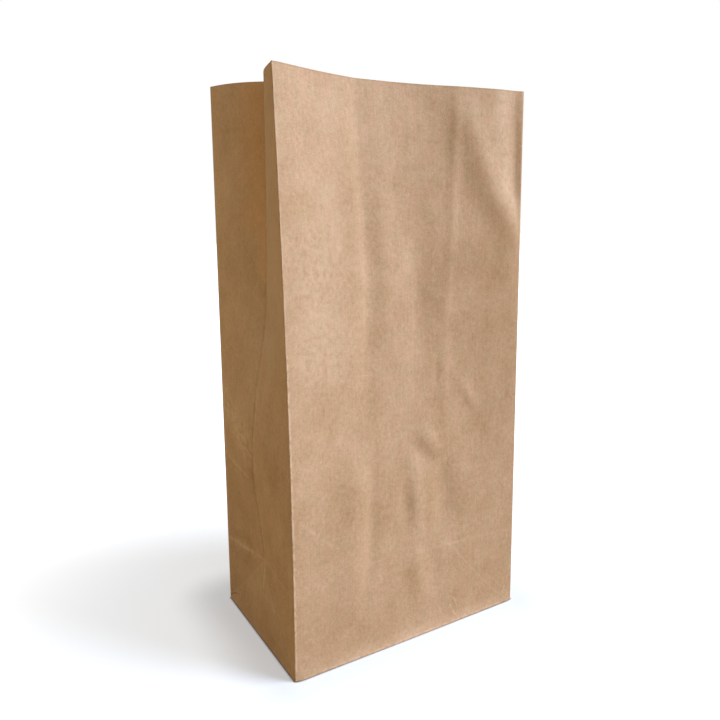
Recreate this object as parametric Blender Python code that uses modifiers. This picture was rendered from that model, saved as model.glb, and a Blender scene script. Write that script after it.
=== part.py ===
"""Brown paper lunch bag: a flat-bottomed, side-gusseted kraft bag standing open.

The bag is one folded and glued sheet, so it is one solid. Metres, +Z up. The
origin is the middle of the base, the plain front panel faces -Y, and the width
runs along X. The back panel carries the glued seam and the crease on which the
bag folds flat.
"""

import math

import bmesh
import bpy
import numpy as np

# Sheet and base
BAG_WIDTH = 0.130
BAG_DEPTH = 0.080
BAG_HEIGHT = 0.261
PAPER = 0.00012
BASE_LAYERS = 4
FLAP_OVERLAP = 0.016
SEAM_WIDTH = 0.014
SEAM_OFFSET = 0.008

# Where each top corner stands, seen from above, against the base corner below it
LEAN_FRONT_LEFT = (-0.0030, 0.0026)
LEAN_FRONT_RIGHT = (-0.0015, 0.0084)
LEAN_BACK_RIGHT = (0.0012, -0.0050)
LEAN_BACK_LEFT = (-0.0012, -0.0062)
FRONT_LEFT_BOW = (0.0009, -0.0011)

# Gusset tuck: how far the centre fold stands in from the side, at four heights
Y_DENT = 0.0042
WAIST_HEIGHT = 0.100
WAIST_TUCK = 0.0020
SHOULDER_HEIGHT = 0.172
SHOULDER_TUCK = 0.0095
MOUTH_TUCK = 0.0145
GUSSET_CREASE_DROP = 0.0012

# Outward swell of the halves of a gusset at the mouth, and where the front one is fullest
BACK_HALF_BULGE = 0.0022
FRONT_HALF_BULGE = 0.0030
FRONT_HALF_PEAK = 0.60

# Panel bows at the mouth, and the dent along the crease at the back. The front bow's
# powers of the distance from its left and right ends pass from half height to the mouth.
FRONT_BOW = 0.0135
FRONT_BOW_RISE = (1.10, 1.39)
FRONT_BOW_FALL = (1.20, 2.00)
FRONT_BOW_CHANGE = 0.130
BACK_BOW = 0.0035
BOW_GROWTH = 1.0
BACK_CREASE_DENT = 0.0016
GUSSET_CREASE_DENT = 0.0007

# Steps of the loft
FRONT_STEPS = 16
BACK_STEPS = (6, 2, 5)
GUSSET_STEPS = 5
UPPER_STEPS = 18

PAPER_COLOUR = (0.57, 0.40, 0.27, 1.0)
PAPER_ROUGHNESS = 0.85

CREASE_HEIGHT = BAG_DEPTH / 2
FLAP_REACH = (BAG_DEPTH + FLAP_OVERLAP) / 2
BASE_BAND = (BASE_LAYERS + 1) * PAPER


def clear_scene():
    """Start from an empty scene."""
    for item in list(bpy.data.objects):
        bpy.data.objects.remove(item, do_unlink=True)


def new_collection(name, hidden):
    """Add a collection to the scene."""
    group = bpy.data.collections.new(name)
    bpy.context.scene.collection.children.link(group)
    group.hide_render = hidden
    return group


def kraft_paper():
    """Plain brown kraft paper."""
    material = bpy.data.materials.new("kraft_paper")
    material.use_nodes = True
    shader = material.node_tree.nodes["Principled BSDF"]
    shader.inputs["Base Color"].default_value = PAPER_COLOUR
    shader.inputs["Roughness"].default_value = PAPER_ROUGHNESS
    shader.inputs["Metallic"].default_value = 0.0
    return material


def ease(height, low, high, start, end):
    """Pass smoothly from one value at the low height to another at the high one."""
    share = (height - low) / (high - low)
    return start + (end - start) * share * share * (3.0 - 2.0 * share)


def near_crease(height):
    """How near a height is to the crease on which the bag folds flat, 1 on it."""
    return max(0.0, 1.0 - abs(height - CREASE_HEIGHT) / CREASE_HEIGHT)


def corner(side_x, side_y, lean, height, bow=(0.0, 0.0)):
    """A vertical fold, which leans on its way to the mouth and is bowed at half height."""
    share = height / BAG_HEIGHT
    arch = 4.0 * share * (1.0 - share)
    return np.array([
        side_x * BAG_WIDTH / 2 + lean[0] * share + bow[0] * arch,
        side_y * BAG_DEPTH / 2 + lean[1] * share + bow[1] * arch,
    ])


def gusset_tuck(height):
    """How far the middle of a gusset stands in from the side of the bag."""
    if height <= CREASE_HEIGHT:
        return Y_DENT * height / CREASE_HEIGHT
    if height <= WAIST_HEIGHT:
        return ease(height, CREASE_HEIGHT, WAIST_HEIGHT, Y_DENT, WAIST_TUCK)
    if height <= SHOULDER_HEIGHT:
        return ease(height, WAIST_HEIGHT, SHOULDER_HEIGHT, WAIST_TUCK, SHOULDER_TUCK)
    share = (height - SHOULDER_HEIGHT) / (BAG_HEIGHT - SHOULDER_HEIGHT)
    return SHOULDER_TUCK + (MOUTH_TUCK - SHOULDER_TUCK) * share


def gusset(front, back, inward, height):
    """Points across one gusset from its front fold to its back fold, both included.

    Below the crease height the sheet is flat between the two diagonal folds that
    rise from the base corners. Above, it is two halves about the centre fold, and
    each half swells outward towards the mouth. The back half is dented a little
    where the crease runs on from the back panel to the centre fold.
    """
    tuck = gusset_tuck(height)
    to_fold = min(height, CREASE_HEIGHT)
    growth = max(0.0, height - CREASE_HEIGHT) / (BAG_HEIGHT - CREASE_HEIGHT)
    points = []
    for step in range(2 * GUSSET_STEPS + 1):
        share = step / (2 * GUSSET_STEPS)
        to_middle = 2.0 * min(share, 1.0 - share)
        from_corner = to_middle * BAG_DEPTH / 2
        depth = tuck * (1.0 if from_corner >= to_fold else from_corner / to_fold)
        arch = math.sin(math.pi * to_middle)
        if share > 0.5:
            depth -= BACK_HALF_BULGE * growth * arch
            depth += GUSSET_CREASE_DENT * near_crease(height) * arch
        else:
            depth -= FRONT_HALF_BULGE * growth * front_half_arch(to_middle)
        points.append(front + (back - front) * share + np.array([inward * depth, 0.0]))
    return points


def front_half_arch(share):
    """Shape of the swell of a gusset's front half, from its corner to the centre fold."""
    power = FRONT_HALF_PEAK / (1.0 - FRONT_HALF_PEAK)
    return (share / FRONT_HALF_PEAK) ** power * (1.0 - share) / (1.0 - FRONT_HALF_PEAK)


def front_bow(share, height):
    """Shape of the front panel's inward bow from left to right, at most 1."""
    low, high = FRONT_BOW_CHANGE, BAG_HEIGHT
    level = min(max(height, low), high)
    rise = ease(level, low, high, *FRONT_BOW_RISE)
    fall = ease(level, low, high, *FRONT_BOW_FALL)
    peak = rise / (rise + fall)
    return (share / peak) ** rise * ((1.0 - share) / (1.0 - peak)) ** fall


def front_panel(start, end, height):
    """Points across the front panel, left to right."""
    growth = (height / BAG_HEIGHT) ** BOW_GROWTH
    points = []
    for step in range(FRONT_STEPS):
        share = step / FRONT_STEPS
        bow = FRONT_BOW * growth * front_bow(share, height)
        points.append(start + (end - start) * share + np.array([0.0, bow]))
    return points


def back_depth(share, height):
    """How far the back panel stands in from its chord, share running right to left."""
    arch = math.sin(math.pi * share)
    bow = BACK_BOW * (height / BAG_HEIGHT) ** BOW_GROWTH
    return arch * (bow + BACK_CREASE_DENT * near_crease(height))


def back_panel_point(share, height):
    """A point of the back panel, share running right to left."""
    start = corner(1, 1, LEAN_BACK_RIGHT, height)
    end = corner(-1, 1, LEAN_BACK_LEFT, height)
    return start + (end - start) * share - np.array([0.0, back_depth(share, height)])


def back_shares():
    """Where the back panel's columns stand, right to left: two bound the seam."""
    seam_start = 0.5 + (SEAM_OFFSET - SEAM_WIDTH / 2) / BAG_WIDTH
    seam_end = 0.5 + (SEAM_OFFSET + SEAM_WIDTH / 2) / BAG_WIDTH
    bounds = (0.0, seam_start, seam_end, 1.0)
    shares = [0.0]
    for start, end, steps in zip(bounds, bounds[1:], BACK_STEPS):
        shares += [start + (end - start) * (step + 1) / steps for step in range(steps)]
    return shares


def section(height):
    """The sheet's outline at one height, anticlockwise from the front left fold."""
    front_left = corner(-1, -1, LEAN_FRONT_LEFT, height, FRONT_LEFT_BOW)
    front_right = corner(1, -1, LEAN_FRONT_RIGHT, height)
    back_right = corner(1, 1, LEAN_BACK_RIGHT, height)
    back_left = corner(-1, 1, LEAN_BACK_LEFT, height)
    left_gusset = gusset(front_left, back_left, 1, height)
    outline = front_panel(front_left, front_right, height)
    outline += gusset(front_right, back_right, -1, height)[:-1]
    outline += [back_panel_point(share, height) for share in back_shares()[:-1]]
    outline += left_gusset[:0:-1]
    return outline


def row_heights():
    """Heights of the loft's rows above the base band, even up to the crease and above."""
    lower = [CREASE_HEIGHT * row / GUSSET_STEPS for row in range(1, GUSSET_STEPS)]
    rise = BAG_HEIGHT - CREASE_HEIGHT
    upper = [CREASE_HEIGHT + rise * row / UPPER_STEPS for row in range(UPPER_STEPS + 1)]
    return lower + upper


def crease_nearness():
    """For each point of a section, 1 on the centre fold of a gusset and 0 off the gussets."""
    steps = 2 * GUSSET_STEPS
    across = [2.0 * min(step, steps - step) / steps for step in range(steps)]
    return [0.0] * FRONT_STEPS + across + [0.0] * sum(BACK_STEPS) + across


def wall_rings():
    """The loft's rings. The lowest two are alike, so the walls start upright.

    The centre folds lean inward, so the sheet's rows stand lower there by the mouth.
    """
    base = section(0.0)
    rings = [[(x, y, height) for x, y in base] for height in (0.0, BASE_BAND)]
    nearness = crease_nearness()
    for height in row_heights():
        drop = GUSSET_CREASE_DROP * (height / BAG_HEIGHT) ** 2
        rings.append([(x, y, height - drop * near ** 2) for (x, y), near in zip(section(height), nearness)])
    return rings


def falls_to_the_left(column):
    """Whether the fold across a loft cell runs down to the left, seen from outside.

    It does on the panels and on the first half of each gusset, where it follows the
    diagonal that rises from the base corner. On the second half it is mirrored.
    """
    half = GUSSET_STEPS
    mirrored_starts = (FRONT_STEPS + half, FRONT_STEPS + 3 * half + sum(BACK_STEPS))
    return not any(start <= column < start + half for start in mirrored_starts)


def skin(rings, closed, name, collection):
    """A surface of triangles through rings of points, each a list of (x, y, z)."""
    sheet = bmesh.new()
    grid = [[sheet.verts.new(point) for point in ring] for ring in rings]
    count = len(grid[0])
    for lower, upper in zip(grid, grid[1:]):
        for column in range(count if closed else count - 1):
            following = (column + 1) % count
            low_left, low_right = lower[column], lower[following]
            high_left, high_right = upper[column], upper[following]
            if falls_to_the_left(column):
                sheet.faces.new((low_left, low_right, high_right))
                sheet.faces.new((low_left, high_right, high_left))
            else:
                sheet.faces.new((low_left, low_right, high_left))
                sheet.faces.new((low_right, high_right, high_left))
    mesh = bpy.data.meshes.new(name)
    sheet.to_mesh(mesh)
    sheet.free()
    item = bpy.data.objects.new(name, mesh)
    collection.objects.link(item)
    return item


def thicken(item, thickness, side):
    """Give an open surface its thickness: side -1 grows inward and 1 outward."""
    solidify = item.modifiers.new("paper", "SOLIDIFY")
    solidify.thickness = thickness
    solidify.offset = side
    solidify.use_even_offset = True
    solidify.use_rim = True


def mark_as_tool(item):
    """Keep a shape that is only joined into the bag out of the render."""
    item.hide_render = True
    item.display_type = "WIRE"


def layer(name, outline, bottom, top, tools):
    """A flat layer of paper with a straight-sided outline, between two heights."""
    plate = bmesh.new()
    underside = plate.faces.new([plate.verts.new((x, y, bottom)) for x, y in outline])
    grown = bmesh.ops.extrude_face_region(plate, geom=[underside])
    for item in grown["geom"]:
        if isinstance(item, bmesh.types.BMVert):
            item.co.z = top
    bmesh.ops.recalc_face_normals(plate, faces=plate.faces)
    mesh = bpy.data.meshes.new(name)
    plate.to_mesh(mesh)
    plate.free()
    item = bpy.data.objects.new(name, mesh)
    tools.objects.link(item)
    mark_as_tool(item)


def bottom_layers(tools):
    """The folded and glued base, from the floor up.

    Two long flaps close the base and overlap on its centre line, the back one
    outermost. Each has its ends cut off by the 45 degree folds from the base
    corners, and the triangles turned under at those folds lie on it. The two end
    flaps, which fold in first, lie on top and are what shows inside the bag.
    """
    edge_x = (BAG_WIDTH - PAPER) / 2
    edge_y = (BAG_DEPTH - PAPER) / 2
    reach = FLAP_REACH
    for name, side, bottom, top in (("back_flap", 1, 0, 1), ("front_flap", -1, 1, 2)):
        outline = (
            (-edge_x, side * edge_y),
            (-edge_x + reach, side * (edge_y - reach)),
            (edge_x - reach, side * (edge_y - reach)),
            (edge_x, side * edge_y),
        )
        layer(name, outline, bottom * PAPER, top * PAPER, tools)
    for end_name, end in (("left", -1), ("right", 1)):
        for name, side, bottom in (("back", 1, 1), ("front", -1, 2)):
            outline = (
                (end * edge_x, side * edge_y),
                (end * (edge_x - reach), side * edge_y),
                (end * (edge_x - reach), side * (edge_y - reach)),
            )
            layer(f"{name}_{end_name}_turn", outline, bottom * PAPER, 3 * PAPER, tools)
        outline = (
            (end * edge_x, -edge_y),
            (end * (edge_x - reach), -edge_y),
            (end * (edge_x - reach), edge_y),
            (end * edge_x, edge_y),
        )
        layer(f"{end_name}_end_flap", outline, 3 * PAPER, BASE_LAYERS * PAPER, tools)


def seam_lap(rings, tools):
    """The free edge of the sheet, glued over the back panel from base to mouth."""
    first = FRONT_STEPS + 2 * GUSSET_STEPS + BACK_STEPS[0]
    last = first + BACK_STEPS[1]
    strip = skin([ring[first:last + 1] for ring in rings], False, "seam_lap", tools)
    thicken(strip, PAPER, 1)
    mark_as_tool(strip)


def build_bag():
    """The whole bag: lofted walls joined with the base layers and the seam."""
    bag_group = new_collection("brown_paper_lunch_bag", False)
    tools = new_collection("layers_joined_into_the_bag", True)
    rings = wall_rings()
    bag = skin(rings, True, "paper_bag", bag_group)
    thicken(bag, PAPER, -1)
    bottom_layers(tools)
    seam_lap(rings, tools)
    join = bag.modifiers.new("glue", "BOOLEAN")
    join.operation = "UNION"
    join.solver = "EXACT"
    join.operand_type = "COLLECTION"
    join.collection = tools
    bag.data.materials.append(kraft_paper())


clear_scene()
build_bag()
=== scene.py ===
"""Brown paper lunch bag: one folded and glued sheet of kraft paper, and a studio around it.

Metres, +Z up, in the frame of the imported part: the origin is the middle of the base, the
plain front panel faces -Y and the back panel with the glued seam faces +Y. The sheet is
laid out flat as columns round the bag and rows from the ends of the base flaps up to the
mouth. Every point of that grid is then placed on the folded bag.
"""

import math

import bpy
import numpy as np
from mathutils import Euler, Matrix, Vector


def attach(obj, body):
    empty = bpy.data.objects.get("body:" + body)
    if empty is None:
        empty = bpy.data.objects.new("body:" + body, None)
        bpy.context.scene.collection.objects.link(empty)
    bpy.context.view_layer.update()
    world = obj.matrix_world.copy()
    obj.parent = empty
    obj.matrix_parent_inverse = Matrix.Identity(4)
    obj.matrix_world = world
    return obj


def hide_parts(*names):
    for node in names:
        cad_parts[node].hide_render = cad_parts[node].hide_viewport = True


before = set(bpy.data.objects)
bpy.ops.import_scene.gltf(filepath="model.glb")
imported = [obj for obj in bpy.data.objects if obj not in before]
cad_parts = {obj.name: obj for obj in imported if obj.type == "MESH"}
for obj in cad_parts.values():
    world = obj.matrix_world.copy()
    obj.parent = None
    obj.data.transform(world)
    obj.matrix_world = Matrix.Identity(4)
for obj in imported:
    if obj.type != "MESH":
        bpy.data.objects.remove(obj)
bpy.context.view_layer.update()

MM = 0.001

# Sheet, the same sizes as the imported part
BAG_WIDTH = 0.130
BAG_DEPTH = 0.080
BAG_HEIGHT = 0.261
PAPER = 0.00012
FLAP_OVERLAP = 0.016
SEAM_WIDTH = 0.014
SEAM_OFFSET = 0.008

# Where each top corner stands, seen from above, against the base corner below it, and how
# far the front left fold bows at half height
LEAN_FRONT_LEFT = (-0.0030, 0.0026)
LEAN_FRONT_RIGHT = (-0.0015, 0.0084)
LEAN_BACK_RIGHT = (0.0012, -0.0050)
LEAN_BACK_LEFT = (-0.0012, -0.0062)
FRONT_LEFT_BOW = (0.0009, -0.0011)

# How far in a gusset's centre fold stands: where the diagonal folds meet it, at its waist,
# at its shoulder and at the mouth
Y_DENT = 0.0042
WAIST_HEIGHT = 0.100
WAIST_TUCK = -0.0006
SHOULDER_HEIGHT = 0.172
SHOULDER_TUCK = 0.0095
MOUTH_TUCK = 0.0145

# Outward bulge of a gusset's halves at the mouth, and the share of the way from the upright
# fold to the centre fold at which it peaks
BACK_HALF_BULGE = 0.0022
BACK_HALF_PEAK = 0.53
FRONT_HALF_BULGE = 0.0030
FRONT_HALF_PEAK = 0.60

# How much lower the mouth is at a gusset's centre fold
CREASE_DROP = 0.0012

# Bow of the front panel at the mouth, the powers of its rise and fall at the lower and the
# upper height of its change, the back panel's bow, and the power by which both bows grow
# with the height
FRONT_BOW = 0.0135
FRONT_BOW_RISE = (1.10, 1.39)
FRONT_BOW_FALL = (1.20, 2.00)
BOW_CHANGE = (0.130, BAG_HEIGHT)
BACK_BOW = 0.0035
BOW_GROWTH = 0.72

# How far in the back panel and the gussets' back halves stand at the crease on which the
# bag folds flat
BACK_CREASE_DENT = 0.0016
GUSSET_CREASE_DENT = 0.0007

# How far the left gusset's centre fold wanders toward the back, by height
WANDER_HEIGHTS = (0.040, 0.062, 0.080, 0.090, 0.099, 0.109, 0.118, 0.127, 0.150)
WANDERS = (0.0, 0.0018, 0.0026, 0.0024, 0.0003, -0.0019, -0.0019, -0.0006, 0.0)

HALF_WIDTH = BAG_WIDTH / 2
HALF_DEPTH = BAG_DEPTH / 2
CREASE_HEIGHT = BAG_DEPTH / 2
FLAP_REACH = (BAG_DEPTH + FLAP_OVERLAP) / 2

# Columns of the flat sheet, from its first edge under the seam and round by the left
BACK_START = HALF_WIDTH - SEAM_OFFSET + SEAM_WIDTH / 2
BACK_END = HALF_WIDTH + SEAM_OFFSET + SEAM_WIDTH / 2
BACK_LEFT_FOLD = BACK_START
FRONT_LEFT_FOLD = BACK_LEFT_FOLD + BAG_DEPTH
FRONT_RIGHT_FOLD = FRONT_LEFT_FOLD + BAG_WIDTH
BACK_RIGHT_FOLD = FRONT_RIGHT_FOLD + BAG_DEPTH
SHEET_WIDTH = BACK_RIGHT_FOLD + BACK_END

# Cell sizes between the marks of the grid, and how close its lines run beside a fold
COLUMN_CELLS = (0.0022, 0.0020, 0.0020, 0.0013, 0.0020, 0.0020, 0.0022)
ROW_CELLS = (0.0022, 0.0018, 0.0018)
FOLD_ROUNDING = (0.00035, 0.0009)

# Decimals of a metre to which the grid's lines are rounded
GRID_DIGITS = 7

# Length over which the step under the seam and the rise at the base fade out
STEP_FADE = 0.002

# How far a rounded fold stands in, and the width beside it over which relief sets in
FOLD_PULL = 0.00010
FOLD_CLEAR = 0.004

# Paper that lies on other paper: its level above the outer face of the base, where a flap
# climbs onto the one below it, and the step under the glued seam
LAYER_GAP = 0.00006
TURN_LEVEL = 2 * PAPER + LAYER_GAP
END_LEVEL = 3 * PAPER
FLAP_CLIMB = (0.008, 0.030)
SEAM_STEP = 0.00015

# How close two places or columns of the sheet are to be the same, and the least divisor
SAME_PLACE = 1e-7
SAME_COLUMN = 1e-6
SMALLEST_DIVISOR = 1e-9

# Soft ridges and valleys of each panel in millimetres: the half width of the round section
# and the path, as distance from the panel's middle line, height above the base and rise
FRONT_RELIEF = (
    (6.0, ((-21, 275, -0.55), (-19.5, 240, -0.90), (-18.5, 220, -0.80), (-16, 175, -1.00),
           (-19, 150, -0.90), (-22, 105, 0.0))),
    (2.2, ((-22, 275, -0.10), (-21.5, 240, -0.30), (-19, 198, -0.38), (-18, 172, -0.30),
           (-20.5, 150, -0.15), (-22, 105, 0.0))),
    (5.0, ((-9, 270, 0.10), (-10, 190, 0.50), (-9, 108, 0.0))),
    (6.0, ((9, 213, 0.0), (9, 167, -1.10), (9, 121, 0.0))),
    (1.3, ((18.7, 142, 0.0), (18.5, 130, -0.35), (18.2, 117, 0.0))),
    (2.5, ((29.5, 275, 0.0), (28, 238, 0.55), (27, 205, 0.50), (24.8, 180, 0.30),
           (22.6, 130, 0.25), (23.5, 84, 0.0))),
    (7.6, ((31, 262, 0.45), (36.5, 241, 1.55), (40.5, 230, 1.90), (47.5, 215, 2.00),
           (60, 198, 1.15))),
    (6.6, ((58, 266, -0.70), (61, 240, -1.40), (61.5, 228, -1.50), (63, 214, -1.30),
           (66, 202, -0.40))),
    (2.8, ((31, 128, 0.0), (37.5, 117, 0.65), (44, 106, 0.0))),
    (3.6, ((4.5, 108, 0.0), (13.5, 98, 0.65), (22.5, 88, 0.0))),
    (3.6, ((-0.5, 103, 0.0), (8.5, 93, -0.65), (17.5, 83, 0.0))),
    (3.2, ((-1.5, 92, 0.0), (-1.5, 70, -0.55), (-1.5, 48, 0.0))),
    (4.0, ((5.5, 92, 0.0), (5.5, 69, 0.95), (5.5, 46, 0.0))),
    (6.5, ((22, 98, 0.0), (22, 66, -1.35), (22, 40, 0.0))),
    (4.5, ((4, 52, 0.0), (4, 33, 0.80), (5, 14, 0.0))),
    (4.8, ((14, 46, 0.0), (15, 32, -0.75), (16, 14, 0.0))),
    (8.0, ((-31, 112, 0.0), (-30, 76, 1.15), (-33, 42, 1.05), (-40, 15, 0.0))),
    (3.6, ((-20.5, 102, 0.0), (-20.5, 76, -0.95), (-23, 42, -0.85), (-31, 17, 0.0))),
    (12.0, ((40, 150, 0.0), (40.5, 105, -0.70), (41, 60, 0.0))),
    (14.0, ((6, 198, 0.0), (30, 190, 1.10), (56, 184, 0.30))),
    (2.6, ((-70, 0, 0.60), (0, 0, 1.00), (70, 0, 0.60))),
)
BACK_RELIEF = (
    (6.0, ((-30, 275, -0.30), (-27, 180, -0.80), (-31, 92, 0.0))),
    (7.0, ((-12, 236, 0.0), (-10, 178, 0.60), (-9, 120, 0.0))),
    (5.0, ((35, 240, 0.0), (30, 178, 0.75), (36, 118, 0.0))),
    (4.0, ((48, 140, 0.0), (39, 112, -0.45), (30, 84, 0.0))),
    (4.0, ((-50, 120, 0.0), (-44, 91, 0.45), (-38, 62, 0.0))),
    (4.0, ((10, 92, 0.0), (18, 72, 0.45), (26, 52, 0.0))),
    (3.0, ((-70, 0, 0.25), (0, 0, 0.50), (70, 0, 0.25))),
)
LEFT_RELIEF = (
    (7.0, ((36, 142, 0.0), (30.5, 117, 1.20), (25, 94, 0.0))),
    (2.0, ((41, 87, 0.25), (24, 84, 0.50), (11, 81, 0.0))),
    (3.2, ((3, 108, 0.0), (3.5, 94, -0.50), (3, 80, 0.0))),
    (3.6, ((0.5, 122, 0.0), (1.5, 90, -0.60), (1, 44, 0.0))),
    (4.2, ((1, 40, 0.0), (-20, 20, -0.45), (-39, 1, 0.0))),
    (3.0, ((41, 34, 0.15), (20, 34, 0.40), (4, 36, 0.0))),
    (2.8, ((41, 40.5, -0.15), (20, 40.5, -0.40), (2, 42, 0.0))),
    (6.0, ((-30, 150, 0.0), (-27, 121, -0.45), (-24, 92, 0.0))),
    (7.0, ((22, 240, 0.0), (21, 195, 0.50), (20, 150, 0.0))),
    (9.0, ((-14, 150, 0.0), (-15, 98, 0.60), (-14, 56, 0.0))),
    (5.0, ((-12, 62, 0.0), (-22, 53, 0.40), (-32, 44, 0.0))),
)
RIGHT_RELIEF = (
    (6.0, ((34, 210, 0.0), (30, 170, 0.60), (26, 130, 0.0))),
    (6.0, ((-30, 224, 0.0), (-26, 176, -0.55), (-22, 128, 0.0))),
    (2.0, ((-36, 90, 0.0), (-23, 87, 0.35), (-10, 84, 0.0))),
    (4.0, ((12, 112, 0.0), (8.5, 91, 0.45), (5, 70, 0.0))),
    (3.6, ((0.5, 120, 0.0), (1, 82, -0.60), (1, 44, 0.0))),
    (3.4, ((1, 40, 0.0), (20, 20, -0.50), (39, 1, 0.0))),
    (3.0, ((41, 34, -0.15), (20, 36, -0.40), (4, 38, 0.0))),
)
RELIEF = {
    "front": FRONT_RELIEF,
    "back": BACK_RELIEF,
    "left": LEFT_RELIEF,
    "right": RIGHT_RELIEF,
}

# Kraft colours: the pulp at its darkest and palest in two tints, the pale colour of fibres, of
# paper worn on a fold and of painted highlights, specks, painted shade, the painted warm glow and
# the painted cool light at the left gusset's top, and how rough the paper is
PULP_DARK = (0.440, 0.280, 0.149, 1.0)
PULP_PALE = (0.720, 0.530, 0.377, 1.0)
PULP_DARK_WARM = (0.460, 0.276, 0.154, 1.0)
PULP_PALE_WARM = (0.738, 0.520, 0.382, 1.0)
PULP_RUBBED_AND_HIGHLIGHT = (0.800, 0.630, 0.480, 1.0)
PULP_SPECK = (0.300, 0.170, 0.090, 1.0)
PULP_PAINTED_SHADE = (0.360, 0.195, 0.072, 1.0)
PULP_PAINTED_WARM_GLOW = (1.000, 0.480, 0.100, 1.0)
PULP_PAINTED_COOL_LIGHT = (0.570, 0.445, 0.370, 1.0)
PAPER_ROUGHNESS = 0.62

# Noise of the paper over the flat sheet in millimetres: how fine it is across and up, its
# turn in degrees, its detail and its roughness
LAYERS = {
    "cloud": (0.055, 0.035, 0.0, 3.0, 0.5),
    "crumple": (0.13, 0.10, 24.0, 3.0, 0.55),
    "mottle": (0.55, 0.42, 0.0, 3.0, 0.62),
    "streak": (0.9, 0.045, 0.0, 2.0, 0.5),
    "grain": (2.9, 1.6, 0.0, 2.0, 0.7),
    "tint": (0.16, 0.11, 0.0, 2.0, 0.5),
    "speck": (1.1, 1.0, 0.0, 1.0, 0.5),
    "wear_and_highlight": (0.35, 0.35, 0.0, 2.0, 0.5),
}
LIGHT_FIBRES = ((2.4, 0.33, 8.0, 1.0, 0.5), (2.4, 0.33, -47.0, 1.0, 0.5))
DARK_FIBRES = ((2.4, 0.33, 25.0, 1.0, 0.5), (2.4, 0.33, -71.0, 1.0, 0.5))

# How far each layer swings the paper's shade, and its roughness, either way of the middle
MIDDLE_SHADE = 0.5
SHADE_SWINGS = {"cloud": 0.36, "crumple": 0.26, "mottle": 0.43, "streak": 0.10, "grain": 0.62}
ROUGHNESS_SWING = 0.12

# Where the noise starts and ends to be a tint, a fibre, a speck, and a place of wear and painted
# highlight, and its share
TINT_BAND = (0.36, 0.64)
FIBRE_BAND = (0.66, 0.74)
SPECK_BAND = (0.80, 0.84)
WEAR_AND_HIGHLIGHT_BAND = (0.30, 0.62)
LIGHT_FIBRE_SHARE = 0.35
DARK_FIBRE_SHARE = 0.30
SPECK_SHARE = 0.5

# The fine surface of the paper: its height in metres and what each layer adds to it
BUMP_HEIGHT = 0.00012
BUMP_SHARES = {
    "mottle": 0.55,
    "grain": 0.22,
    "streak": 0.35,
    "light_fibre": 0.10,
    "folded": 0.9,
    "crumple": 2.4,
}

# How far in millimetres the drawn creases and the painted light and shade flutter, and the noise
# that moves them
CREASE_FLUTTER = 0.9
FLUTTER_LAYER = (0.22, 0.22, 0.0, 2.0, 0.5)

# Pale lines and patches on the flat sheet in millimetres: creases worn pale, painted highlights
# on the lit side of folds, and wide painted highlights on the front and the left gusset; a path,
# its half width and how far the paper is made paler there
PALE_CREASES_AND_HIGHLIGHTS = (
    (((104, 26), (104, 40), (102.9, 62), (102.3, 80), (102.5, 90), (104.6, 99)), 1.10, 0.55),
    (((104.6, 99), (106.8, 109), (106.8, 118), (105.4, 127), (104.3, 150)), 1.10, 0.40),
    (((104, 150), (104, 261)), 0.80, 0.26),
    (((66, 116), (94, 100)), 17.0, 0.60),
    (((162, 192), (160, 142)), 22.0, 0.34),
    (((267, 212), (262, 240), (262, 258)), 8.0, 0.36),
    (((214.5, 88), (214.5, 52)), 6.0, 0.26),
    (((144.6, 0), (144.6, 150)), 0.90, 0.85),
    (((314, 26), (314, 40), (314, 261)), 0.80, 0.30),
    (((64, 0), (104, 40), (144, 0)), 1.60, 0.20),
    (((274, 0), (314, 40), (354, 0)), 1.10, 0.32),
    (((65, 85.5), (81, 84), (93, 82)), 1.60, 0.50),
    (((64, 37), (84, 37.5), (104, 40)), 1.70, 0.48),
    (((104, 40), (144, 41)), 1.20, 0.30),
    (((274, 41), (314, 40), (354, 37)), 1.20, 0.40),
    (((354, 37), (434, 37.5)), 1.10, 0.40),
    (((0, 37.5), (64, 37)), 1.10, 0.40),
    (((64, 0), (64, 261)), 0.70, 0.28),
    (((144.4, 0), (144.4, 261)), 0.80, 0.50),
    (((274, 0), (274, 261)), 0.70, 0.28),
    (((354, 0), (354, 261)), 0.70, 0.28),
    (((0, 0.4), (434, 0.4)), 1.30, 0.50),
    (((206, 42.5), (240, 42), (273, 41)), 1.10, 0.20),
    (((233, 42), (262, 8), (272, 0)), 0.65, 0.24),
    (((232.5, 9.5), (234.5, 5), (237.3, 0.8)), 0.75, 0.46),
    (((235.6, 12), (236.9, 7.2)), 0.80, 0.42),
    (((267, 4), (270.8, 13), (272.7, 20)), 0.70, 0.42),
    (((256, 20), (272, 4)), 0.65, 0.20),
    (((149, 76), (158, 66), (168, 58)), 1.60, 0.20),
    (((147, 48), (152, 43)), 0.70, 0.25),
    (((144.3, 79.0), (144.3, 80.2)), 0.90, 0.95),
)

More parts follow.
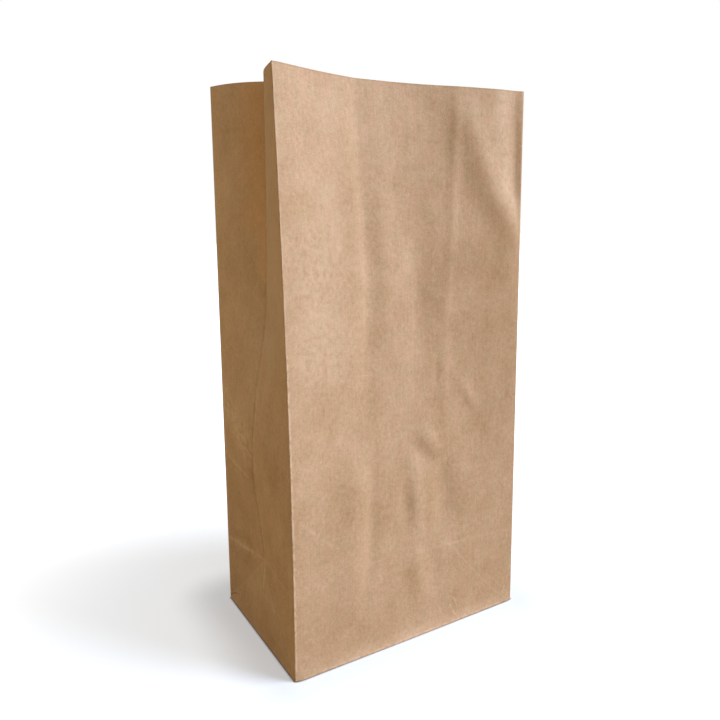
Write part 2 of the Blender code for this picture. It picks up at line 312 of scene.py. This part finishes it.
# Painted shade in the same form: darker lines on the shaded side of folds, in small notches and
# at the seam's edge, wide darker patches where the front and the left gusset are in shade, and a
# darker line along the cut edge of the mouth
PAINTED_SHADE_LINES = (
    (((433.8, -45), (433.8, 261)), 0.50, 0.45),
    (((103.3, 150), (103.3, 261)), 1.20, 0.16),
    (((103.0, 150), (103.3, 127), (104.8, 118), (104.8, 109), (102.6, 99)), 1.70, 0.20),
    (((102.6, 99), (100.5, 90), (100.3, 80), (101.1, 62), (102.8, 42)), 1.70, 0.20),
    (((131, 136), (129, 88)), 12.0, 0.10),
    (((112, 35), (126, 23), (140, 9)), 7.0, 0.14),
    (((262, 195), (264, 135)), 24.0, 0.17),
    (((181, 235), (181, 190)), 9.0, 0.13),
    (((143.0, 4), (143.0, 261)), 0.90, 0.26),
    (((84, 3), (124, 3)), 22.0, 0.16),
    (((64.4, 1.6), (68, 4.4), (71.5, 6.2)), 0.80, 0.75),
    (((64.2, 9), (66.5, 5.5)), 1.00, 0.40),
    (((64.2, 46.4), (64.6, 47.6)), 0.80, 0.60),
    (((142.2, 4.2), (143.6, 0.6)), 1.10, 0.80),
    (((106, 36), (122, 19), (141, 2)), 1.60, 0.20),
    (((103.0, 101), (104.6, 110)), 1.60, 0.34),
    (((104.7, 116), (104.4, 121)), 1.40, 0.40),
    (((0, 260.8), (434, 260.8)), 0.55, 0.30),
    (((142.2, 261), (143.6, 255)), 0.90, 0.60),
)

# The left gusset's top: a painted warm glow behind its centre fold and painted cool, greyer light
# before it
PAINTED_WARM_GLOW = (
    (((99, 205), (97, 261)), 19.0, 0.23),
    (((101.5, 180), (101, 261)), 7.0, 0.20),
)
PAINTED_COOL_LIGHT = (
    (((124, 150), (124, 261)), 22.0, 0.42),
)

# Studio floor: its size, its colour to the camera and to the light that bounces off it, and
# the lift of its brightness for the camera, as distances from the bag and lifts there
FLOOR_SIZE = 6.0
FLOOR_COLOUR = (0.575, 0.635, 0.735, 1.0)
FLOOR_BOUNCE = (0.40, 0.29, 0.135, 1.0)
FLOOR_LIFTS = ((0.004, 0.350), (0.034, 0.585), (0.215, 1.0))

# Painted contact shadow, a dark line where the bag touches the floor: its colour, how far the
# floor feels the bag, and between which shares of open space round a point of the floor the line
# fades
FLOOR_CONTACT_SHADOW = (0.150, 0.110, 0.075, 1.0)
FLOOR_CONTACT_SHADOW_WIDTH = 0.0014
FLOOR_CONTACT_SHADOW_SKY = (0.53, 0.97)
FLOOR_CONTACT_SHADOW_SAMPLES = 8

# How far in from the bag's outline the floor opens under it
FLOOR_OPENING = (-0.0004, -0.0010)

# The point to which the lamps look, at the middle of the bag
LAMP_AIM = (0.0, 0.0, BAG_HEIGHT / 2)

# Key light: how far round the bag it stands, to the right of the front, and how high up,
# both in degrees
KEY_TURN = 51.0
KEY_RISE = 40.0
KEY_DISTANCE = 3.0
KEY_SIZE = 1.6
KEY_POWER = 95.0
KEY_COLOUR = (0.950, 1.0, 1.10)

# Even light on the front
FRONT_PLACE = (0.10, -2.40, 0.95)
FRONT_SIZE = 1.2
FRONT_POWER = 8.0
FRONT_COLOUR = (1.0, 0.96, 0.88)

# Warm light on the shaded side, low and behind the left
FILL_PLACE = (-1.10, 0.85, 0.20)
FILL_SIZE = 0.6
FILL_POWER = 4.6
FILL_COLOUR = (1.0, 0.73, 0.38)

# Pale room round the bag, brighter overhead than at the horizon, and warm below it
ROOM_HORIZON = (0.105, 0.075, 0.032, 1.0)
ROOM_OVERHEAD = (0.50, 0.495, 0.485, 1.0)
ROOM_UNDER_FROM = -0.06
ROOM_UNDER = (0.44, 0.37, 0.28, 1.0)
ROOM_WHITE = (1.0, 1.0, 1.0, 1.0)

# Camera, solved from the photo
CAMERA_PLACE = (-0.1802, -0.2852, 0.2115)
CAMERA_TURN = 31.28
CAMERA_PITCH = 13.08
CAMERA_ROLL = 0.14
CAMERA_LENS = 34.5
CAMERA_SENSOR = 36.0
CAMERA_CLIP = 0.01


def smooth(value, low, high):
    """A smooth step from 0 at low to 1 at high."""
    share = np.clip((value - low) / (high - low), 0.0, 1.0)
    return share * share * (3.0 - 2.0 * share)


def near_crease(z):
    """How near a height is to the crease on which the bag folds flat, 1 on it."""
    return np.maximum(0.0, 1.0 - np.abs(z - CREASE_HEIGHT) / CREASE_HEIGHT)


def corner(side_x, side_y, lean, z, bow=(0.0, 0.0)):
    """A vertical fold of the bag at the heights z, with its bow at half height."""
    share = z / BAG_HEIGHT
    arch = 4.0 * share * (1.0 - share)
    x = side_x * HALF_WIDTH + lean[0] * share + bow[0] * arch
    y = side_y * HALF_DEPTH + lean[1] * share + bow[1] * arch
    return np.stack([x, y], axis=-1)


def gusset_tuck(z):
    """How far the middle of a gusset stands in from the side of the bag."""
    low = Y_DENT * z / CREASE_HEIGHT
    waist = Y_DENT + (WAIST_TUCK - Y_DENT) * smooth(z, CREASE_HEIGHT, WAIST_HEIGHT)
    climb = smooth(z, WAIST_HEIGHT, SHOULDER_HEIGHT)
    shoulder = WAIST_TUCK + (SHOULDER_TUCK - WAIST_TUCK) * climb
    rise = (z - SHOULDER_HEIGHT) / (BAG_HEIGHT - SHOULDER_HEIGHT)
    mouth = SHOULDER_TUCK + (MOUTH_TUCK - SHOULDER_TUCK) * rise
    ranges = [z <= CREASE_HEIGHT, z <= WAIST_HEIGHT, z <= SHOULDER_HEIGHT]
    return np.select(ranges, [low, waist, shoulder], mouth)


def half_arch(share, peak):
    """A bulge of height 1 between the folds at 0 and 1, highest at the peak."""
    power = peak / (1.0 - peak)
    return share ** power * (1.0 - share) / (peak ** power * (1.0 - peak))


def gusset_depth(from_front, z):
    """How far a gusset stands in from the side, at a distance from its front fold."""
    from_corner = np.minimum(from_front, BAG_DEPTH - from_front)
    to_fold = np.maximum(np.minimum(z, CREASE_HEIGHT), SMALLEST_DIVISOR)
    depth = gusset_tuck(z) * np.minimum(1.0, from_corner / to_fold)
    share = from_corner / HALF_DEPTH
    growth = np.maximum(0.0, z - CREASE_HEIGHT) / (BAG_HEIGHT - CREASE_HEIGHT)
    if from_front > HALF_DEPTH:
        dent = GUSSET_CREASE_DENT * near_crease(z) * math.sin(math.pi * share)
        return depth + dent - BACK_HALF_BULGE * growth * half_arch(share, BACK_HALF_PEAK)
    return depth - FRONT_HALF_BULGE * growth * half_arch(share, FRONT_HALF_PEAK)


def front_depth(share, z):
    """How far the front panel bows in from its chord, share running left to right."""
    change = smooth(z, *BOW_CHANGE)
    rise = FRONT_BOW_RISE[0] + (FRONT_BOW_RISE[1] - FRONT_BOW_RISE[0]) * change
    fall = FRONT_BOW_FALL[0] + (FRONT_BOW_FALL[1] - FRONT_BOW_FALL[0]) * change
    peak = rise / (rise + fall)
    shape = (share / peak) ** rise * ((1.0 - share) / (1.0 - peak)) ** fall
    return FRONT_BOW * (z / BAG_HEIGHT) ** BOW_GROWTH * shape


def back_depth(share, z):
    """How far the back panel stands in from its chord, share running right to left."""
    bow = BACK_BOW * (z / BAG_HEIGHT) ** BOW_GROWTH
    return np.sin(np.pi * share) * (bow + BACK_CREASE_DENT * near_crease(z))


def grid_lines(length_marks, cells, folds):
    """Even cells between marks, with closer lines beside each fold."""
    lines = []
    for start, end, cell in zip(length_marks, length_marks[1:], cells):
        count = max(1, round((end - start) / cell))
        lines += list(np.linspace(start, end, count + 1)[:-1])
    lines.append(length_marks[-1])
    for fold in folds:
        for offset in FOLD_ROUNDING:
            lines += [fold - offset, fold + offset]
    return np.unique(np.round(lines, GRID_DIGITS))


def sheet_columns():
    """Distances along the flat sheet at which the grid has a column."""
    marks = (
        0.0,
        BACK_LEFT_FOLD,
        BACK_LEFT_FOLD + HALF_DEPTH,
        FRONT_LEFT_FOLD,
        FRONT_RIGHT_FOLD,
        FRONT_RIGHT_FOLD + HALF_DEPTH,
        BACK_RIGHT_FOLD,
        SHEET_WIDTH,
    )
    return grid_lines(marks, COLUMN_CELLS, marks[1:-1])


def sheet_rows():
    """Heights on the flat sheet at which the grid has a row, base flaps below zero."""
    marks = (-FLAP_REACH, 0.0, CREASE_HEIGHT, BAG_HEIGHT)
    return grid_lines(marks, ROW_CELLS, marks[1:-1])


def panel_of(column):
    """The panel that a column lies on, and its distance from that panel's first fold.

    The first fold is the right one on the back, the front one on a gusset and the
    left one on the front.
    """
    if column <= BACK_LEFT_FOLD:
        return "back", BAG_WIDTH - BACK_START + column
    if column < FRONT_LEFT_FOLD:
        return "left", FRONT_LEFT_FOLD - column
    if column <= FRONT_RIGHT_FOLD:
        return "front", column - FRONT_LEFT_FOLD
    if column < BACK_RIGHT_FOLD:
        return "right", column - FRONT_RIGHT_FOLD
    return "back", column - BACK_RIGHT_FOLD


def wandered(panel, distance, z):
    """Where a column runs on its panel at the heights z, beside a fold that wanders."""
    if panel != "left":
        return np.full_like(z, distance)
    near = 1.0 - abs(distance - HALF_DEPTH) / HALF_DEPTH
    return distance + near * np.interp(z, WANDER_HEIGHTS, WANDERS, left=0.0)


def seam_offset(column):
    """How far the sheet's first strip is pressed in under the glued seam."""
    return SEAM_STEP * (1.0 - smooth(column, SEAM_WIDTH, SEAM_WIDTH + STEP_FADE))


def fold_pull(column):
    """How far a rounded vertical fold stands in from the sharp corner."""
    corners = (BACK_LEFT_FOLD, FRONT_LEFT_FOLD, FRONT_RIGHT_FOLD, BACK_RIGHT_FOLD)
    return FOLD_PULL if min(abs(column - fold) for fold in corners) < SAME_COLUMN else 0.0


def stroke_height(path, width, across, up):
    """Height of one soft ridge or valley along a path of (across, up, height) points."""
    nearest = np.full(np.broadcast(across, up).shape, np.inf)
    height = np.zeros_like(nearest)
    for (ax, az, first), (bx, bz, last) in zip(path, path[1:]):
        length = math.hypot(bx - ax, bz - az)
        foot = ((across - ax) * (bx - ax) + (up - az) * (bz - az)) / length ** 2
        foot = np.clip(foot, 0.0, 1.0)
        gap = np.hypot(across - ax - foot * (bx - ax), up - az - foot * (bz - az))
        closer = gap < nearest
        nearest = np.where(closer, gap, nearest)
        height = np.where(closer, first + (last - first) * smooth(foot, 0.0, 1.0), height)
    return height * np.exp(-(nearest / width) ** 2)


def relief(strokes, distance, length, z):
    """Outward height in metres of a panel's soft ridges and valleys, none on its folds."""
    across = distance - length / 2
    height = np.zeros_like(z)
    for width, path in strokes:
        height += stroke_height(path, width, across / MM, z / MM)
    return height * MM * smooth(np.minimum(distance, length - distance), 0.0, FOLD_CLEAR)


def base_level(panel, distance):
    """How high the bottom fold stands: a gusset's lies on the two long flaps."""
    if panel in ("front", "back"):
        return 0.0
    from_corner = min(distance, BAG_DEPTH - distance)
    return END_LEVEL * float(smooth(from_corner, 0.0, 2 * STEP_FADE))


def panel_frame(panel, z):
    """A panel's two folds at the heights z, the way inward and its width."""
    front_left = corner(-1, -1, LEAN_FRONT_LEFT, z, FRONT_LEFT_BOW)
    front_right = corner(1, -1, LEAN_FRONT_RIGHT, z)
    back_right = corner(1, 1, LEAN_BACK_RIGHT, z)
    back_left = corner(-1, 1, LEAN_BACK_LEFT, z)
    frames = {
        "front": (front_left, front_right, (0, 1), BAG_WIDTH),
        "back": (back_right, back_left, (0, -1), BAG_WIDTH),
        "left": (front_left, back_left, (1, 0), BAG_DEPTH),
        "right": (front_right, back_right, (-1, 0), BAG_DEPTH),
    }
    return frames[panel]


def panel_depth(panel, distance, z):
    """How far a panel stands in from its chord, without its relief."""
    if panel == "front":
        return front_depth(distance / BAG_WIDTH, z)
    if panel == "back":
        return back_depth(distance / BAG_WIDTH, z)
    return gusset_depth(distance, z)


def wall_column(column, z):
    """The points of one column above the base, at the heights z."""
    panel, distance = panel_of(column)
    start, end, inward, length = panel_frame(panel, z)
    place = wandered(panel, distance, z)
    depth = panel_depth(panel, distance, z) - relief(RELIEF[panel], place, length, z)
    depth = depth + seam_offset(column)
    plan = start + (end - start) * (place / length)[:, None] + np.outer(depth, inward)
    plan = plan - np.sign(plan) * fold_pull(column)
    height = z + base_level(panel, distance) * (1.0 - smooth(z, 0.0, STEP_FADE))
    if panel in ("left", "right"):
        to_crease = min(distance, BAG_DEPTH - distance) / HALF_DEPTH
        height = height - CREASE_DROP * to_crease ** 2 * (z / BAG_HEIGHT) ** 2
    return np.column_stack([plan, height])


def flap_point(column, reach):
    """A point of the base: reach is how far below the bottom fold it is on the flat sheet."""
    panel, distance = panel_of(column)
    climb = END_LEVEL * float(smooth(reach, *FLAP_CLIMB))
    if panel in ("left", "right"):
        side = -1 if panel == "left" else 1
        return (side * (HALF_WIDTH - reach), distance - HALF_DEPTH, END_LEVEL + climb)
    side, lift, from_left = 1, 0.0, BAG_WIDTH - distance
    if panel == "front":
        side, lift, from_left = -1, climb, distance
    end = -1 if from_left < HALF_WIDTH else 1
    from_end = min(from_left, BAG_WIDTH - from_left)
    if from_end >= reach - SAME_PLACE:
        level = lift + seam_offset(column)
        if abs(from_end - reach) < SAME_PLACE:
            level = lift + TURN_LEVEL / 2
        return (from_left - HALF_WIDTH, side * (HALF_DEPTH - reach), level)
    level = lift + TURN_LEVEL
    if from_end < SAME_PLACE:
        level += LAYER_GAP / 2
    return (end * (HALF_WIDTH - reach), side * (HALF_DEPTH - from_end), level)


def fold_diagonal(column, row):
    """Whether the fold across a grid cell runs up to the right, given the cell's middle."""
    panel, distance = panel_of(column)
    length = BAG_DEPTH if panel in ("left", "right") else BAG_WIDTH
    first_half = distance < length / 2
    if panel == "left":
        first_half = not first_half
    if row > 0:
        return first_half if panel in ("left", "right") else True
    return not first_half


def sheet_points(columns, rows):
    """Where each point of the flat sheet's grid is on the folded bag."""
    walls = rows >= 0.0
    points = np.zeros((len(rows), len(columns), 3))
    for index, column in enumerate(columns):
        points[walls, index] = wall_column(column, rows[walls])
        for row in np.nonzero(~walls)[0]:
            points[row, index] = flap_point(column, -rows[row])
    return points.reshape(-1, 3)


def sheet_faces(columns, rows):
    """The two triangles of each grid cell, split along the fold that crosses it."""
    count = len(columns)
    faces = []
    for row, (low, high) in enumerate(zip(rows, rows[1:])):
        for index, (left, right) in enumerate(zip(columns, columns[1:])):
            low_left = row * count + index
            low_right = low_left + 1
            high_left = low_left + count
            high_right = high_left + 1
            if fold_diagonal((left + right) / 2, (low + high) / 2):
                faces += [(low_left, low_right, high_right), (low_left, high_right, high_left)]
            else:
                faces += [(low_left, low_right, high_left), (low_right, high_right, high_left)]
    return faces


def flat_places(columns, rows):
    """Where each grid point is on the flat sheet, beside the fold that wanders."""
    places = np.stack(np.meshgrid(columns, rows), axis=-1)
    for index, column in enumerate(columns):
        panel, distance = panel_of(column)
        places[:, index, 0] += distance - wandered(panel, distance, rows)
    return places.reshape(-1, 2)


def mark_cut_edges(mesh):
    """Keep the paper's cut edges sharp: they are the edges with one face."""
    uses = np.zeros(len(mesh.edges), dtype=np.int32)
    edges = np.zeros(len(mesh.loops), dtype=np.int32)
    mesh.loops.foreach_get("edge_index", edges)
    np.add.at(uses, edges, 1)
    sharp = mesh.attributes.new("sharp_edge", "BOOLEAN", "EDGE")
    sharp.data.foreach_set("value", uses == 1)


def folded_sheet():
    """The bag's outer face as a grid of the flat sheet, folded."""
    columns, rows = sheet_columns(), sheet_rows()
    mesh = bpy.data.meshes.new("paper_bag_sheet")
    points = sheet_points(columns, rows)
    mesh.from_pydata(points.tolist(), [], sheet_faces(columns, rows))
    corners = np.zeros(len(mesh.loops), dtype=np.int32)
    mesh.loops.foreach_get("vertex_index", corners)
    places = flat_places(columns, rows)[corners]
    layer = mesh.uv_layers.new(name="flat_sheet")
    layer.data.foreach_set("uv", places.astype(np.float32).ravel())
    mesh.shade_smooth()
    mark_cut_edges(mesh)
    return mesh


class Nodes:
    """Short calls that add a node, set its values and link its inputs."""

    def __init__(self, tree):
        self.tree = tree

    def add(self, kind, output, values=(), **settings):
        """Add a node and give back one of its outputs."""
        node = self.tree.nodes.new(kind)
        for name, value in settings.items():
            setattr(node, name, value)
        for key, value in dict(values).items():
            if isinstance(value, bpy.types.NodeSocket):
                self.tree.links.new(value, node.inputs[key])
            else:
                node.inputs[key].default_value = value
        return node.outputs[output]

    def link(self, value, node, name):
        """Link a value to an input of a node that every new tree has."""
        self.tree.links.new(value, self.tree.nodes[node].inputs[name])

    def math(self, operation, first, second=0.0, third=0.0):
        """Arithmetic on up to three values."""
        values = {0: first, 1: second, 2: third}
        return self.add("ShaderNodeMath", 0, values, operation=operation)

    def sum(self, first, *others):
        """The values added up."""
        for other in others:
            first = self.math("ADD", first, other)
        return first

    def swing(self, value, reach):
        """A value that runs about 0.5 turned into one about 0, at most reach either way."""
        return self.math("MULTIPLY_ADD", value, 2.0 * reach, -reach)

    def vector(self, operation, *places, output=0):
        """Arithmetic on up to three places or directions."""
        values = dict(enumerate(places))
        return self.add("ShaderNodeVectorMath", output, values, operation=operation)

    def scaled(self, place, factor):
        """A place or direction times a number."""
        return self.add("ShaderNodeVectorMath", 0, {0: place, 3: factor}, operation="SCALE")

    def part(self, place, axis):
        """The X, Y or Z part of a place."""
        return self.add("ShaderNodeSeparateXYZ", axis, {0: place})

    def camera_ray(self):
        """1 for what the camera sees, 0 for the light's bounces."""
        return self.add("ShaderNodeLightPath", "Is Camera Ray")

    def noise(self, place, layer, output=0):
        """The noise of one layer at a place on the sheet in millimetres."""
        across, up, turn, detail, roughness = layer
        angle = {"Vector": place, "Angle": math.radians(turn)}
        turned = self.add("ShaderNodeVectorRotate", 0, angle, rotation_type="Z_AXIS")
        stretched = self.vector("MULTIPLY", turned, (across, up, 1.0))
        values = {"Vector": stretched, "Scale": 1.0, "Detail": detail, "Roughness": roughness}
        return self.add("ShaderNodeTexNoise", output, values)

    def band(self, value, low, high, kind="SMOOTHSTEP"):
        """A step from 0 at low to 1 at high."""
        values = {"Value": value, "From Min": low, "From Max": high}
        return self.add("ShaderNodeMapRange", 0, values, interpolation_type=kind)

    def mix(self, factor, first, second):
        """Blend two colours."""
        return self.add("ShaderNodeMix", 2, {0: factor, 6: first, 7: second}, data_type="RGBA")

    def line_mask(self, place, start, end, width):
        """1 on the run from start to end, falling to 0 at a width beside it."""
        run = Vector((end[0] - start[0], end[1] - start[1], 0.0))
        reach = self.vector("SUBTRACT", place, (start[0], start[1], 0.0))
        share = self.vector("DOT_PRODUCT", reach, run / run.length_squared, output="Value")
        share = self.add("ShaderNodeClamp", 0, {"Value": share})
        beside = self.vector("SUBTRACT", reach, self.scaled(run, share))
        return self.band(self.vector("LENGTH", beside, output="Value"), width, 0.0)

    def drawn_lines(self, place, lines):
        """How far a table of creases and painted light and shade changes the paper at a place."""
        most = 0.0
        for path, width, change in lines:
            for start, end in zip(path, path[1:]):
                near = self.line_mask(place, start, end, width)
                most = self.math("MAXIMUM", most, self.math("MULTIPLY", near, change))
        return most


def fibres(nodes, place, layers):
    """1 where one of two layers of thin fibres lies, 0 beside it."""
    first, second = (nodes.band(nodes.noise(place, layer), *FIBRE_BAND) for layer in layers)
    return nodes.math("MAXIMUM", first, second)


def fluttered(nodes, place):
    """A place on the sheet, moved a little so that drawn lines and patches don't run straight."""
    noise = nodes.noise(place, FLUTTER_LAYER, output="Color")
    reach = (CREASE_FLUTTER, CREASE_FLUTTER, 0.0)
    middle = (-CREASE_FLUTTER / 2, -CREASE_FLUTTER / 2, 0.0)
    return nodes.vector("ADD", place, nodes.vector("MULTIPLY_ADD", noise, reach, middle))


def kraft_paper():
    """Unbleached kraft paper: clouded pulp, streaks along the web, fibres and specks."""
    material = bpy.data.materials.new("kraft_paper")
    material.use_nodes = True
    shader = material.node_tree.nodes["Principled BSDF"]
    shader.inputs["Roughness"].default_value = PAPER_ROUGHNESS
    nodes = Nodes(material.node_tree)
    place = nodes.scaled(nodes.add("ShaderNodeUVMap", 0, uv_map="flat_sheet"), 1.0 / MM)
    paper = {name: nodes.noise(place, layer) for name, layer in LAYERS.items()}

    swings = [nodes.swing(paper[name], reach) for name, reach in SHADE_SWINGS.items()]
    shade = nodes.sum(MIDDLE_SHADE, *swings)
    plain = nodes.mix(shade, PULP_DARK, PULP_PALE)
    warm = nodes.mix(shade, PULP_DARK_WARM, PULP_PALE_WARM)
    colour = nodes.mix(nodes.band(paper["tint"], *TINT_BAND), plain, warm)

    paper["light_fibre"] = fibres(nodes, place, LIGHT_FIBRES)
    light = nodes.math("MULTIPLY", paper["light_fibre"], LIGHT_FIBRE_SHARE)
    dark = nodes.math("MULTIPLY", fibres(nodes, place, DARK_FIBRES), DARK_FIBRE_SHARE)
    specks = nodes.math("MULTIPLY", nodes.band(paper["speck"], *SPECK_BAND), SPECK_SHARE)
    colour = nodes.mix(light, colour, PULP_RUBBED_AND_HIGHLIGHT)
    colour = nodes.mix(dark, colour, PULP_SPECK)
    colour = nodes.mix(specks, colour, PULP_SPECK)

    wavy = fluttered(nodes, place)
    # Worn pale creases, and painted highlights on the lit side of folds and in wide pale patches
    paper["folded"] = nodes.drawn_lines(wavy, PALE_CREASES_AND_HIGHLIGHTS)
    rubbed_and_highlit = nodes.math("MULTIPLY", paper["folded"], nodes.band(paper["wear_and_highlight"], *WEAR_AND_HIGHLIGHT_BAND))
    colour = nodes.mix(rubbed_and_highlit, colour, PULP_RUBBED_AND_HIGHLIGHT)
    # Painted shade beside folds, in notches and in wide darker patches
    colour = nodes.mix(nodes.drawn_lines(wavy, PAINTED_SHADE_LINES), colour, PULP_PAINTED_SHADE)
    # Painted warm glow behind the left gusset's centre fold
    colour = nodes.mix(nodes.drawn_lines(wavy, PAINTED_WARM_GLOW), colour, PULP_PAINTED_WARM_GLOW)
    # Painted cool light before the left gusset's centre fold
    colour = nodes.mix(nodes.drawn_lines(wavy, PAINTED_COOL_LIGHT), colour, PULP_PAINTED_COOL_LIGHT)
    nodes.link(colour, "Principled BSDF", "Base Color")

    roughness = nodes.sum(PAPER_ROUGHNESS, nodes.swing(paper["mottle"], ROUGHNESS_SWING))
    nodes.link(roughness, "Principled BSDF", "Roughness")
    heights = [nodes.math("MULTIPLY", paper[name], share) for name, share in BUMP_SHARES.items()]
    values = {"Height": nodes.sum(*heights), "Strength": 1.0, "Distance": BUMP_HEIGHT}
    nodes.link(nodes.add("ShaderNodeBump", 0, values), "Principled BSDF", "Normal")
    return material


def build_bag():
    """The bag as one piece of paper with its thickness."""
    bag = bpy.data.objects.new("folded_paper_bag", folded_sheet())
    bpy.context.scene.collection.objects.link(bag)
    thickness = bag.modifiers.new("paper", "SOLIDIFY")
    thickness.thickness = PAPER
    thickness.offset = -1.0
    thickness.use_rim = True
    bag.data.materials.append(kraft_paper())
    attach(bag, "root")
    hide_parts("paper_bag")


def pale_floor():
    """Pale to the camera, painted shadow at the bag's foot, and see-through from below and under
    it.
    """
    material = bpy.data.materials.new("studio_floor")
    material.use_nodes = True
    tree = material.node_tree
    tree.nodes.remove(tree.nodes["Principled BSDF"])
    nodes = Nodes(tree)
    place = nodes.vector("ABSOLUTE", nodes.add("ShaderNodeTexCoord", "Object"))
    beside = nodes.vector("SUBTRACT", place, (HALF_WIDTH, HALF_DEPTH, 0.0))
    away = nodes.vector("LENGTH", nodes.vector("MAXIMUM", beside, (0.0, 0.0, 0.0)), output="Value")
    values = {"Distance": FLOOR_CONTACT_SHADOW_WIDTH}
    sky = nodes.add("ShaderNodeAmbientOcclusion", "AO", values, samples=FLOOR_CONTACT_SHADOW_SAMPLES)
    open_floor = nodes.band(sky, *FLOOR_CONTACT_SHADOW_SKY)

    # Painted contact shadow: the floor turns dark where the bag closes it in
    colour = nodes.mix(open_floor, FLOOR_CONTACT_SHADOW, FLOOR_COLOUR)
    colour = nodes.mix(nodes.camera_ray(), FLOOR_BOUNCE, colour)
    (near, low), (middle, half_lift), (far, full) = FLOOR_LIFTS
    first = nodes.math("MULTIPLY", nodes.band(away, near, middle), half_lift - low)
    last = nodes.math("MULTIPLY", nodes.band(away, middle, far), full - half_lift)
    lift = nodes.math("MULTIPLY", nodes.sum(low, first, last), open_floor)
    lift = nodes.math("MULTIPLY", lift, nodes.camera_ray())
    diffuse = nodes.add("ShaderNodeBsdfDiffuse", 0, {"Color": colour})
    glow = nodes.add("ShaderNodeEmission", 0, {"Strength": lift})
    surface = nodes.add("ShaderNodeAddShader", 0, {0: diffuse, 1: glow})

    outside = nodes.math("MAXIMUM", nodes.part(beside, "X"), nodes.part(beside, "Y"))
    opening = nodes.band(outside, *FLOOR_OPENING)
    clear = nodes.math("MAXIMUM", nodes.add("ShaderNodeNewGeometry", "Backfacing"), opening)
    hole = nodes.add("ShaderNodeBsdfTransparent", 0)
    surface = nodes.add("ShaderNodeMixShader", 0, {0: clear, 1: surface, 2: hole})
    nodes.link(surface, "Material Output", "Surface")
    return material


def build_floor():
    """A pale floor that keeps the bag's shadow and is plain white around it."""
    half = FLOOR_SIZE / 2
    mesh = bpy.data.meshes.new("studio_floor")
    outline = [(-half, -half, 0.0), (half, -half, 0.0), (half, half, 0.0), (-half, half, 0.0)]
    mesh.from_pydata(outline, [], [(0, 1, 2, 3)])
    mesh.materials.append(pale_floor())
    floor = bpy.data.objects.new("studio_floor", mesh)
    bpy.context.scene.collection.objects.link(floor)


def build_lamp(name, place, size, power, colour):
    """A soft round lamp that points at the middle of the bag."""
    lamp = bpy.data.lights.new(name, "AREA")
    lamp.shape = "DISK"
    lamp.size = size
    lamp.energy = power
    lamp.color = colour
    holder = bpy.data.objects.new(name, lamp)
    holder.location = place
    holder.visible_camera = False
    to_bag = Vector(LAMP_AIM) - Vector(place)
    holder.rotation_euler = to_bag.to_track_quat("-Z", "Y").to_euler()
    bpy.context.scene.collection.objects.link(holder)


def build_lights():
    """The key light at the right, the even light in front and the warm fill at the left."""
    turn, rise = math.radians(KEY_TURN), math.radians(KEY_RISE)
    level = math.cos(rise)
    toward = Vector((math.sin(turn) * level, -math.cos(turn) * level, math.sin(rise)))
    place = Vector(LAMP_AIM) + toward * KEY_DISTANCE
    build_lamp("key_light", place, KEY_SIZE, KEY_POWER, KEY_COLOUR)
    build_lamp("front_light", FRONT_PLACE, FRONT_SIZE, FRONT_POWER, FRONT_COLOUR)
    build_lamp("fill_light", FILL_PLACE, FILL_SIZE, FILL_POWER, FILL_COLOUR)


def build_room():
    """The light of a pale room, which the camera sees as plain white."""
    world = bpy.data.worlds.new("pale_room")
    bpy.context.scene.world = world
    world.use_nodes = True
    nodes = Nodes(world.node_tree)
    up = nodes.part(nodes.add("ShaderNodeTexCoord", "Generated"), "Z")
    overhead = nodes.math("POWER", nodes.math("MAXIMUM", up, 0.0), 2.0)
    under = nodes.band(up, ROOM_UNDER_FROM, 2.0 * ROOM_UNDER_FROM, "LINEAR")
    room = nodes.mix(overhead, ROOM_HORIZON, ROOM_OVERHEAD)
    room = nodes.mix(under, room, ROOM_UNDER)
    nodes.link(nodes.mix(nodes.camera_ray(), room, ROOM_WHITE), "Background", "Color")


def build_camera():
    """The camera at the photo's angle."""
    camera = bpy.data.cameras.new("camera")
    camera.lens = CAMERA_LENS
    camera.sensor_width = CAMERA_SENSOR
    camera.clip_start = CAMERA_CLIP
    holder = bpy.data.objects.new("camera", camera)
    holder.location = CAMERA_PLACE
    turn = Euler((math.radians(90.0 - CAMERA_PITCH), 0.0, math.radians(-CAMERA_TURN)), "XYZ")
    roll = Euler((0.0, 0.0, math.radians(CAMERA_ROLL)), "XYZ")
    holder.rotation_euler = (turn.to_matrix() @ roll.to_matrix()).to_euler()
    bpy.context.scene.collection.objects.link(holder)
    bpy.context.scene.camera = holder


build_bag()
build_floor()
build_lights()
build_room()
build_camera()
bpy.context.scene.view_settings.view_transform = "Standard"

bpy.context.view_layer.update()
